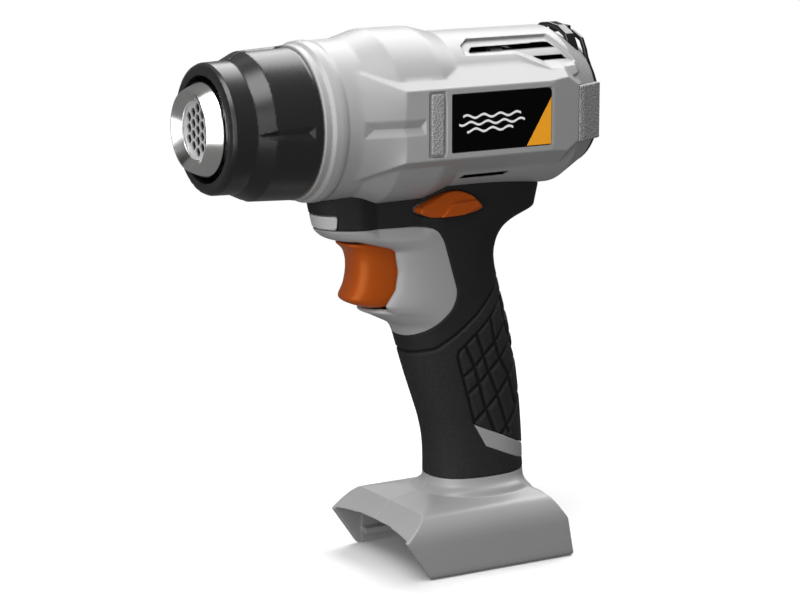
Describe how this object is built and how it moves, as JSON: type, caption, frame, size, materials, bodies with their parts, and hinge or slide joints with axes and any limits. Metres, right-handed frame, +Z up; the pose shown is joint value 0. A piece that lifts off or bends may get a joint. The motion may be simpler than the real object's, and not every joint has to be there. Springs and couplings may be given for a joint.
{
  "type": "cordless heat gun",
  "caption": "Pistol-grip cordless heat gun without its battery: steel nozzle with honeycomb screen, guarded barrel, squeeze trigger, lock button and slide-on battery foot.",
  "frame": {"origin": "middle of the bounding box in X and Y, on the surface that the battery foot stands on", "axes": "+X along the barrel towards the nozzle, +Y to the tool's left side, +Z up"},
  "size_m": [0.1908, 0.079, 0.2426],
  "materials": {
    "housing_plastic": "satin, light grey",
    "pad_plastic": "coarse spark-textured, light grey",
    "grip_rubber": "fine grained, charcoal",
    "guard_plastic": "satin black, heat resistant",
    "cap_plastic": "gloss black",
    "orange_plastic": "satin orange",
    "nozzle_chrome": "polished plating",
    "screen_steel": "satin",
    "heater_steel": "drawn steel",
    "mica_card": "flaky matt",
    "coil_wire": "heat-tinted resistance wire",
    "cutoff_case": "matt white",
    "inner_plastic": "moulded black nylon",
    "fan_plastic": "natural nylon",
    "rotor_iron": "stacked laminations",
    "copper_wire": "bright copper",
    "bush_bronze": "sintered bronze",
    "ferrite": "dark matt",
    "label_film": "black film with an orange corner",
    "lens_plastic": "frosted",
    "board_laminate": "green solder mask",
    "sink_aluminium": "extruded",
    "lead_insulation": "silicone",
    "screw_steel": "blackened"
  },
  "bodies": {
    "gun": {"left_housing": "housing_plastic", "right_housing": "housing_plastic", "left_overmould": "grip_rubber", "right_overmould": "grip_rubber", "heat_guard": "guard_plastic", "nozzle": "nozzle_chrome", "honeycomb": "screen_steel", "rear_cap": "cap_plastic", "left_label": "label_film", "right_label": "label_film", "left_front_bumper": "pad_plastic", "right_front_bumper": "pad_plastic", "left_rear_bumper": "pad_plastic", "right_rear_bumper": "pad_plastic", "led_lens": "lens_plastic", "terminal_block": "inner_plastic", "terminal_blades": "copper_wire", "housing_screws": "screw_steel", "heater_tube": "heater_steel", "mica_sleeve": "mica_card", "mica_card_upright": "mica_card", "mica_card_flat": "mica_card", "heating_coil": "coil_wire", "thermal_cutoff": "cutoff_case", "support_ring": "heater_steel", "fan_duct": "inner_plastic", "motor_can": "heater_steel", "motor_magnets": "ferrite", "motor_front_bush": "bush_bronze", "motor_rear_bush": "bush_bronze", "motor_end_cap": "inner_plastic", "motor_brushes": "ferrite", "motor_mount": "inner_plastic", "intake_screen": "screen_steel", "led_board": "board_laminate", "trigger_spring": "heater_steel", "switch_body": "inner_plastic", "control_board": "board_laminate", "board_heat_sink": "sink_aluminium", "battery_leads": "lead_insulation", "motor_leads": "lead_insulation", "heater_leads": "lead_insulation", "led_leads": "lead_insulation"},
    "trigger_unit": {"trigger": "orange_plastic", "switch_plunger": "inner_plastic"},
    "lock_unit": {"lock_button": "orange_plastic"},
    "rotor": {"motor_shaft": "heater_steel", "armature": "rotor_iron", "armature_windings": "copper_wire", "commutator": "copper_wire", "fan_impeller": "fan_plastic"}
  },
  "joints": [
    {"name": "trigger_slide", "type": "slide", "parent": "gun", "child": "trigger_unit", "axis": [-1, 0, 0], "range_m": [0, 0.006], "stiffness_N_per_m": 600, "springref_m": -0.003, "deforming": ["trigger_spring"]},
    {"name": "lock_slide", "type": "slide", "parent": "gun", "child": "lock_unit", "axis": [0, 1, 0], "range_m": [-0.0025, 0.0025]},
    {"name": "fan_spin", "type": "hinge", "parent": "gun", "child": "rotor", "pos_m": [0, 0, 0.204], "axis": [1, 0, 0], "continuous": true}
  ]
}
